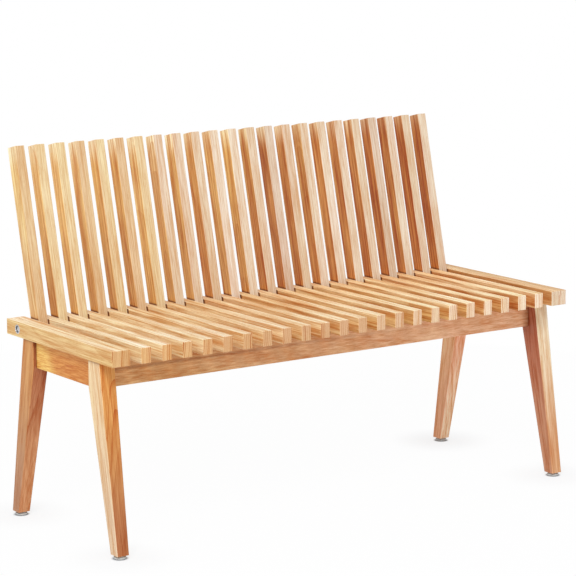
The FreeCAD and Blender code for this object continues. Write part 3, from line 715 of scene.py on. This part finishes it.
def slat_pith(number):
    """Where the pith lay from a slat: left or right of it, by seven steps mixed up so that neighbours
    differ, at four heights, and further along for each number."""
    side = 1 if number * 5 % 3 else -1
    across = NEAREST_PITH + PITH_STEP * (number * 3 % 7)
    up = PITH_STEP_UP * (number * 5 % 4) + LOWEST_PITH
    return (side * across, PITH_STEP_ALONG * number, up)


def along_seat(share, tones):
    """The tone at a share of the way along the seat, from tones that are evenly spaced on it."""
    stations = np.linspace(0, 1, len(tones))
    return tuple(float(np.interp(share, stations, levels)) for levels in zip(*tones))


def between(first, second):
    """The tone midway between two."""
    return tuple(np.mean((first, second), axis=0).tolist())


def painted_shade_beside_back_slats(board, side):
    """The tone of a side that the raised back slats pass, with painted shade beside them. The distance from
    them is that from their middle plane, less half their depth."""
    from_pivot = arrow(board.tree, "SUBTRACT", board.bench_place, PIVOT)
    off_plane = arrow(board.tree, "DOT_PRODUCT", from_pivot, FACE_WAY, output="Value")
    off_plane = reckon(board.tree, "ABSOLUTE", off_plane)
    return board.gone_over(side, total(board.tree, off_plane, -BACK_SLAT_HALF_DEPTH))


for first in range(1, SLAT_COUNT, 2):
    share = (first - 1) / (SLAT_COUNT - 2)
    pair = Board("seat_slats_%02d_%02d" % (first, first + 1), slat_pith(first))
    front_tone = along_seat(share, SEAT_TOPS_FRONT)
    rear_tone = along_seat(share, SEAT_TOPS_REAR)
    top = pair.fade("Y", SEAT_FRONT, SEAT_REAR, front_tone, rear_tone)
    side_tone = along_seat(share, SEAT_SIDES)
    side = pair.gone_over_at(side_tone, ("Z", SEAT_TOP), reach=UPPER_EDGE_REACH, share=UPPER_EDGE_SHARE,
                             into=PALE_AND_LIT)
    side = pair.gone_over_at(side, ("Z", SEAT_UNDERSIDE), reach=LOWER_EDGE_REACH, share=LOWER_EDGE_SHARE)
    side = painted_shade_beside_back_slats(pair, side)
    end = along_seat(share, SEAT_ENDS)
    pair_tone = pair.by_face(top, side, end, between(rear_tone, side_tone))
    flat_streaks = LEFT_STREAKS + STREAK_GROWTH * share
    pair.oil(pair_tone, lines=(1.3, 0.4), bands=0.2, streaks=(0.35, flat_streaks))

# End boards. Each is two strips glued side by side, as thick as the slats and about as long. They close
# the seat at both ends and hold the ends of the pivot rod.

# For each strip: its place in the log, then the tones of its top, side and end
END_STRIPS = {
    "left_outer": (3, tone(246, 220, 180), tone(229, 186, 124), tone(222, 174, 118)),
    "left_inner": (4, tone(244, 216, 173), tone(224, 178, 118), tone(218, 168, 113)),
    "right_outer": (8, tone(224, 182, 128), tone(226, 190, 148), tone(240, 217, 188)),
    "right_inner": (9, tone(245, 206, 153), tone(204, 144, 86), tone(236, 212, 180)),
}
for place, (log, top, side, end) in END_STRIPS.items():
    strip = Board("end_board_" + place, slat_pith(log))
    underside = between(top, side)
    if place.endswith("inner"):
        side = painted_shade_beside_back_slats(strip, side)
    strip.oil(strip.by_face(top, side, end, underside), lines=(1.3, 0.4), bands=0.15, streaks=(0.35, 0.5))

# Seat screws. Two for each slat and two for each end board come up through the aprons, with their heads
# deep in drilled holes. Pan heads with a cross recess, in zinc plated steel.

RECESS_DEPTH = 0.0016
RECESS_HALF_WIDTH = 0.0007
RECESS_REACH = 0.0023
RECESS_EDGE = 0.0004
END_SCREW_SPACING = 0.136
SEAT_SCREW_LENGTH = 0.048
# Radii and heights of the head below its crown, in millimetres
PAN_HEAD = ((4.25, -1.1), (4.25, -2.8), (4.1, -3.0), (2.25, -3.0))
PAN_CROWN = 0.0011
CROWN_ROWS = 12


def recess_arm(across, along):
    """One bar of the cross. Its walls slope from nothing at its half width and reach to full depth."""
    width = np.clip((RECESS_HALF_WIDTH - np.abs(across)) / RECESS_EDGE, 0, 1)
    reach = np.clip((RECESS_REACH - np.abs(along)) / RECESS_EDGE, 0, 1)
    return width * reach


def cross_screw(head, crown, length):
    """A screw hanging down from the top of its head at Z = 0. The top falls by crown times (r / R)
    cubed towards its edge, less the cross cut into it. The head's outline and a plain shank with a
    pointed end follow."""
    head_radius, head_height = np.array(head).T * MILLIMETRE
    rows = np.linspace(0, 1, CROWN_ROWS)[:, None] * head_radius[0]
    angle = np.arange(ROUND_SIDES) * 2 * math.pi / ROUND_SIDES
    x = rows * np.cos(angle)
    y = rows * np.sin(angle)
    cross = RECESS_DEPTH * np.maximum(recess_arm(x, y), recess_arm(y, x))
    top = -crown * (rows / head_radius[0]) ** 3 - cross
    shank = head_radius[-1]
    below_radius = np.concatenate([head_radius, [shank, 0.0]])
    below_height = np.concatenate([head_height, [2 * shank - length, -length]])
    radius = np.concatenate([np.tile(rows, ROUND_SIDES), np.tile(below_radius[:, None], ROUND_SIDES)])
    height = np.concatenate([top, np.tile(below_height[:, None], ROUND_SIDES)])
    return around(radius, height)


seat_screw = cross_screw(PAN_HEAD, PAN_CROWN, SEAT_SCREW_LENGTH)
screws_low, screws_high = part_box("seat_screws")
slat_spacing = middle("back_slat_02").x - middle("back_slat_01").x
places = []
for number in range(SLAT_COUNT):
    x = (number - (SLAT_COUNT - 1) / 2) * slat_spacing
    places += [(x, middle("apron_front").y), (x, middle("apron_rear").y)]
head_radius = PAN_HEAD[0][0] * MILLIMETRE
for x in (screws_low.x + head_radius, screws_high.x - head_radius):
    places += [(x, SEAT_MIDDLE_Y - END_SCREW_SPACING / 2), (x, SEAT_MIDDLE_Y + END_SCREW_SPACING / 2)]
seat_screws = [set_on(seat_screw, (x, y, screws_low.z), (0, 0, -1)) for x, y in places]
closed_piece("pan_head_seat_screws", seat_screws, "bench_frame", "seat_screws", ZINC)

# Back slats. Twenty-three single slats, one for each gap of the seat, lean back on the pivot rod. Their
# faces run from straw on the left to a pinkish cream on the right, and their sides from amber to russet,
# darker low down, partly their own colour and partly painted shade. Their rear faces and ends, turned from
# the sun, keep a tone midway between the two.

BACK_LOW = 0.50
BACK_HIGH = 0.78
# The back slats' places in the logs are counted from here, so that they differ from the seat's
BACK_PITHS_FROM = 30
BACK_LEFT_STREAKS = 0.7
BACK_STREAK_GROWTH = 0.6
STRAW = tone(229, 200, 153)
HONEY = tone(222, 186, 141)
BLUSH = tone(227, 199, 168)
CREAM = tone(232, 207, 180)
DRIFTWOOD = tone(219, 190, 163)
STRAW_SIDE = tone(225, 179, 121)
GOLD = tone(238, 194, 126)
AMBER = tone(227, 174, 98)
TAWNY = tone(216, 159, 88)
RUSSET = tone(206, 136, 68)
BRONZE = tone(196, 124, 62)
CHESTNUT = tone(198, 121, 54)
UMBER = tone(189, 111, 48)
# Face, lower side, upper side
BACK_WOODS = (
    (HONEY, STRAW_SIDE, GOLD), (STRAW, TAWNY, GOLD), (STRAW, AMBER, GOLD), (HONEY, TAWNY, GOLD),
    (STRAW, TAWNY, AMBER), (HONEY, TAWNY, AMBER), (STRAW, AMBER, GOLD), (BLUSH, TAWNY, STRAW_SIDE),
    (BLUSH, TAWNY, AMBER), (BLUSH, RUSSET, AMBER), (CREAM, TAWNY, AMBER), (CREAM, TAWNY, AMBER),
    (BLUSH, RUSSET, TAWNY), (DRIFTWOOD, BRONZE, BRONZE), (BLUSH, RUSSET, RUSSET), (CREAM, RUSSET, TAWNY),
    (CREAM, RUSSET, RUSSET), (CREAM, RUSSET, RUSSET), (BLUSH, RUSSET, RUSSET), (DRIFTWOOD, UMBER, UMBER),
    (CREAM, RUSSET, CHESTNUT), (BLUSH, CHESTNUT, CHESTNUT), (CREAM, CHESTNUT, UMBER),
)
# The top ends of the sides are paler, partly a paler tone and partly painted light, less and less from the
# left slats to the right ones
TOP_END_SHARES = (1.0, 0.95, 0.75, 0.42, 0.2)
TOP_END_REACH_LEFT = 0.068
TOP_END_REACH_RIGHT = 0.048
for number, (face, low_side, high_side) in enumerate(BACK_WOODS, start=1):
    name = "back_slat_%02d" % number
    slat = Board(name, slat_pith(BACK_PITHS_FROM + number), (BACK_LEAN - QUARTER_TURN, 0, 0))
    share = number / len(BACK_WOODS)
    side = slat.fade("Z", BACK_LOW, BACK_HIGH, low_side, high_side)
    top_end = ("Z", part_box(name)[1].z)
    reach = TOP_END_REACH_LEFT + (TOP_END_REACH_RIGHT - TOP_END_REACH_LEFT) * share
    stations = np.linspace(0, 1, len(TOP_END_SHARES))
    paler_share = float(np.interp(share, stations, TOP_END_SHARES))
    side = slat.gone_over_at(side, top_end, reach=reach, share=paler_share, into=PALE_AND_LIT)
    # Painted shade where the sides go down between the seat slats
    side = slat.gone_over_at(side, ("Z", SEAT_TOP))
    rear = between(face, high_side)
    slat_tone = slat.by_face(face, side, rear, rear)
    flat_streaks = BACK_LEFT_STREAKS + BACK_STREAK_GROWTH * share
    slat.oil(slat_tone, lines=(0.2, 0.6), bands=0.06, streaks=(0.1, flat_streaks))

# Tie batten. A thin batten across the tails of the back slats makes them swing as one. It is notched to
# clear the seat slats, and one countersunk screw holds it to each tail.

BATTEN_PITH = (0.07, 0.0, -0.05)
BATTEN_TONE = tone(206, 150, 98)
SCREW_FROM_PIVOT = 0.034
BATTEN_FACE_FROM_PIVOT = 0.02403
BATTEN_SCREW_LENGTH = 0.024
COUNTERSUNK_HEAD = ((3.9, -0.1), (4.0, -0.3), (2.0, -2.2))
TAIL_WAY = Vector((0, -math.sin(BACK_LEAN), -math.cos(BACK_LEAN)))

batten = Board("tie_batten", BATTEN_PITH, ALONG_BENCH)
batten.oil(BATTEN_TONE, wander=0.03, lines=(0.9, 0.5), bands=0.2, streaks=(0.4, 0.6), closeness=2.0)
batten_screw = cross_screw(COUNTERSUNK_HEAD, crown=0.0, length=BATTEN_SCREW_LENGTH)
on_face = PIVOT + TAIL_WAY * SCREW_FROM_PIVOT + FACE_WAY * BATTEN_FACE_FROM_PIVOT
batten_screws = []
for number in range(1, len(BACK_WOODS) + 1):
    head_top = (middle("back_slat_%02d" % number).x, on_face.y, on_face.z)
    batten_screws.append(set_on(batten_screw, head_top, FACE_WAY))
closed_piece("countersunk_batten_screws", batten_screws, "backrest", "tie_batten_screws", ZINC)

# Pivot. One stainless rod runs through every slat, with a washer in each side gap. At both ends it is
# turned down and threaded for a nut, which sits in a flanged cup let into the end board.

ROD_RADIUS = 0.004
STUB_RADIUS = 0.003
STUB_PITCH = 0.001
ROD_SHOULDER = 0.592
ROD_TIP = 0.599
SHOULDER_CHAMFER = 0.0005
CUP_FLOOR_FROM_FACE = 0.0068
ROD_NUT_FLATS = 0.010
ROD_NUT_THICKNESS = 0.005
CUP_OUTLINE = (
    (3.0, -8.0), (8.3, -8.0), (8.6, -7.7), (8.6, -1.2), (9.85, -1.2), (10.0, -1.05), (10.0, -0.4),
    (9.9, -0.15), (9.65, 0.0), (8.3, 0.0), (7.85, -0.12), (7.6, -0.5), (7.6, -6.3), (7.45, -6.65),
    (7.1, -6.8), (3.0, -6.8), (3.0, -8.0),
)

STAINLESS = metal("stainless_steel", colour=(0.72, 0.72, 0.73), roughness=0.30, marks=(700.0, 0.2))
nodes["pivot_washers"].material_slots[0].material = STAINLESS
rod_outline = [(ROD_RADIUS, 0.0), (ROD_RADIUS, ROD_SHOULDER - SHOULDER_CHAMFER),
               (ROD_RADIUS - SHOULDER_CHAMFER, ROD_SHOULDER), (STUB_RADIUS, ROD_SHOULDER)]
half_rod = threaded_bar(rod_outline, ROD_SHOULDER, ROD_TIP, STUB_RADIUS, STUB_PITCH)
rod_nut = hex_nut(ROD_NUT_FLATS, ROD_NUT_THICKNESS, STUB_RADIUS)
end_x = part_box("pivot_end_cups")[1].x
rod_halves = []
cups = []
rod_nuts = []
for x_side in (-1, 1):
    outward = Vector((x_side, 0, 0))
    face = Vector((x_side * end_x, PIVOT.y, PIVOT.z))
    rod_halves.append(set_on(half_rod, PIVOT, outward))
    cups.append(set_on(turned(CUP_OUTLINE), face, outward))
    rod_nuts.append(set_on(rod_nut, face - outward * CUP_FLOOR_FROM_FACE, outward))
closed_piece("threaded_pivot_rod", rod_halves, "bench_frame", "pivot_rod", STAINLESS)
closed_piece("flanged_end_cups", cups, "bench_frame", "pivot_end_cups", STAINLESS)
closed_piece("chamfered_rod_nuts", rod_nuts, "bench_frame", "pivot_end_nuts", STAINLESS)

# Floor, light and camera. A sheet of white paper under and behind the bench, one large soft lamp high in
# front and to the left, and even light from all round. The paper shows its shade fully at the feet, where a
# painted shadow darkens it too.

FLOOR_REACH = 40.0
PAPER = (0.88, 0.91, 0.95, 1)
# A grey on the paper under each foot, a painted shadow
PAINTED_FOOT_SHADOW = (0.40, 0.42, 0.45, 1)
# How much of the paper is plain white beside a foot and under the bench, and how far each shade reaches
PAPER_BESIDE_FEET = 0.80
PAPER_UNDER_BENCH = 0.97
FOOT_SHADE_FROM = 0.0125
FOOT_SHADE_TO = 0.0205
SOFT_SHADE_TO = 0.14
PAPER_CLEAR_FROM = 0.9
PAPER_CLEAR_AT = 1.8
AMBIENT_LIGHT = 0.60

floor_mesh = bpy.data.meshes.new("paper_floor")
corners = [(-FLOOR_REACH, -FLOOR_REACH, 0), (FLOOR_REACH, -FLOOR_REACH, 0), (FLOOR_REACH, FLOOR_REACH, 0),
           (-FLOOR_REACH, FLOOR_REACH, 0)]
floor_mesh.from_pydata(corners, [], [(0, 1, 2, 3)])
floor = bpy.data.objects.new("paper_floor", floor_mesh)
bpy.context.scene.collection.objects.link(floor)


def seen_directly(tree):
    """1 for what is seen straight or in a gloss or through glass, 0 for what only gives light."""
    path = put(tree, "LightPath").outputs
    seen = reckon(tree, "MAXIMUM", path["Is Camera Ray"], path["Is Glossy Ray"])
    return reckon(tree, "MAXIMUM", seen, path["Is Transmission Ray"])


# Plain white where it is seen, but for its shade under the bench, which is darkest at the feet, and a
# painted shadow under each foot
paper = bpy.data.materials.new("white_paper")
paper.use_nodes = True
sheet = paper.node_tree
sheet.nodes.clear()
on_paper = put(sheet, "TexCoord").outputs["Object"]
distance = arrow(sheet, "LENGTH", on_paper, output="Value")
foot = (glide_high - glide_low) / 2 - Vector((GLIDE_RADIUS, GLIDE_RADIUS, 0))
quarter = arrow(sheet, "ABSOLUTE", arrow(sheet, "SUBTRACT", on_paper, middle("foot_glides")))
quarter = arrow(sheet, "MULTIPLY", quarter, (1, 1, 0))
from_foot = arrow(sheet, "DISTANCE", quarter, (foot.x, foot.y, 0), output="Value")
beside_foot = spread(sheet, from_foot, FOOT_SHADE_TO, SOFT_SHADE_TO, PAPER_BESIDE_FEET, PAPER_UNDER_BENCH)
white_share = product(sheet, spread(sheet, from_foot, FOOT_SHADE_FROM, FOOT_SHADE_TO, 0.0, 1.0), beside_foot)
clear_share = spread(sheet, distance, PAPER_CLEAR_FROM, PAPER_CLEAR_AT, 0.0, 1.0)
white_share = product(sheet, reckon(sheet, "MAXIMUM", white_share, clear_share), seen_directly(sheet))
# Painted shadow on the paper under each foot
foot_shadow_share = spread(sheet, from_foot, FOOT_SHADE_FROM, FOOT_SHADE_TO, 1.0, 0.0)
paper_with_painted_shadow = blend_tones(sheet, foot_shadow_share, PAPER, PAINTED_FOOT_SHADOW)
matt = put(sheet, "BsdfDiffuse", {"Color": paper_with_painted_shadow}).outputs[0]
white = put(sheet, "Emission", {"Color": (1, 1, 1, 1), "Strength": 1.0}).outputs[0]
surface = put(sheet, "MixShader", {0: white_share, 1: matt, 2: white}).outputs[0]
put(sheet, "OutputMaterial", {"Surface": surface})
floor_mesh.materials.append(paper)

studio = bpy.data.worlds.new("studio")
bpy.context.scene.world = studio
studio.use_nodes = True
room = studio.node_tree
room.nodes.clear()
level = spread(room, seen_directly(room), 0.0, 1.0, AMBIENT_LIGHT, 1.0)
sky = put(room, "Background", {"Color": (1, 1, 1, 1), "Strength": level}).outputs[0]
put(room, "OutputWorld", {"Surface": sky})

LAMP_PLACE = Vector((-4.6, -5.0, 6.6))
LAMP_TARGET = Vector((0, 0, 0.4))
LAMP_SIZE = 3.6
LAMP_WATTS = 430
lamp = bpy.data.lights.new("key_lamp", "AREA")
lamp.shape = "SQUARE"
lamp.size = LAMP_SIZE
lamp.energy = LAMP_WATTS
softbox = bpy.data.objects.new("key_lamp", lamp)
softbox.location = LAMP_PLACE
softbox.rotation_euler = (LAMP_TARGET - LAMP_PLACE).to_track_quat("-Z", "Y").to_euler()
bpy.context.scene.collection.objects.link(softbox)

CAMERA_PLACE = (-3.05592, -4.36202, 1.42550)
CAMERA_YAW = math.radians(-35.0354)
CAMERA_TILT = math.radians(79.7628)
CAMERA_ROLL = math.radians(-0.0723)
SENSOR_MILLIMETRES = 36.0
LENS_MILLIMETRES = 152.892
lens = bpy.data.cameras.new("camera")
lens.sensor_width = SENSOR_MILLIMETRES
lens.lens = LENS_MILLIMETRES
camera = bpy.data.objects.new("camera", lens)
aim = Matrix.Rotation(CAMERA_YAW, 4, "Z") @ Matrix.Rotation(CAMERA_TILT, 4, "X")
aim = aim @ Matrix.Rotation(CAMERA_ROLL, 4, "Z")
camera.matrix_world = Matrix.Translation(CAMERA_PLACE) @ aim
bpy.context.scene.collection.objects.link(camera)
bpy.context.scene.camera = camera
bpy.context.scene.view_settings.view_transform = "Standard"
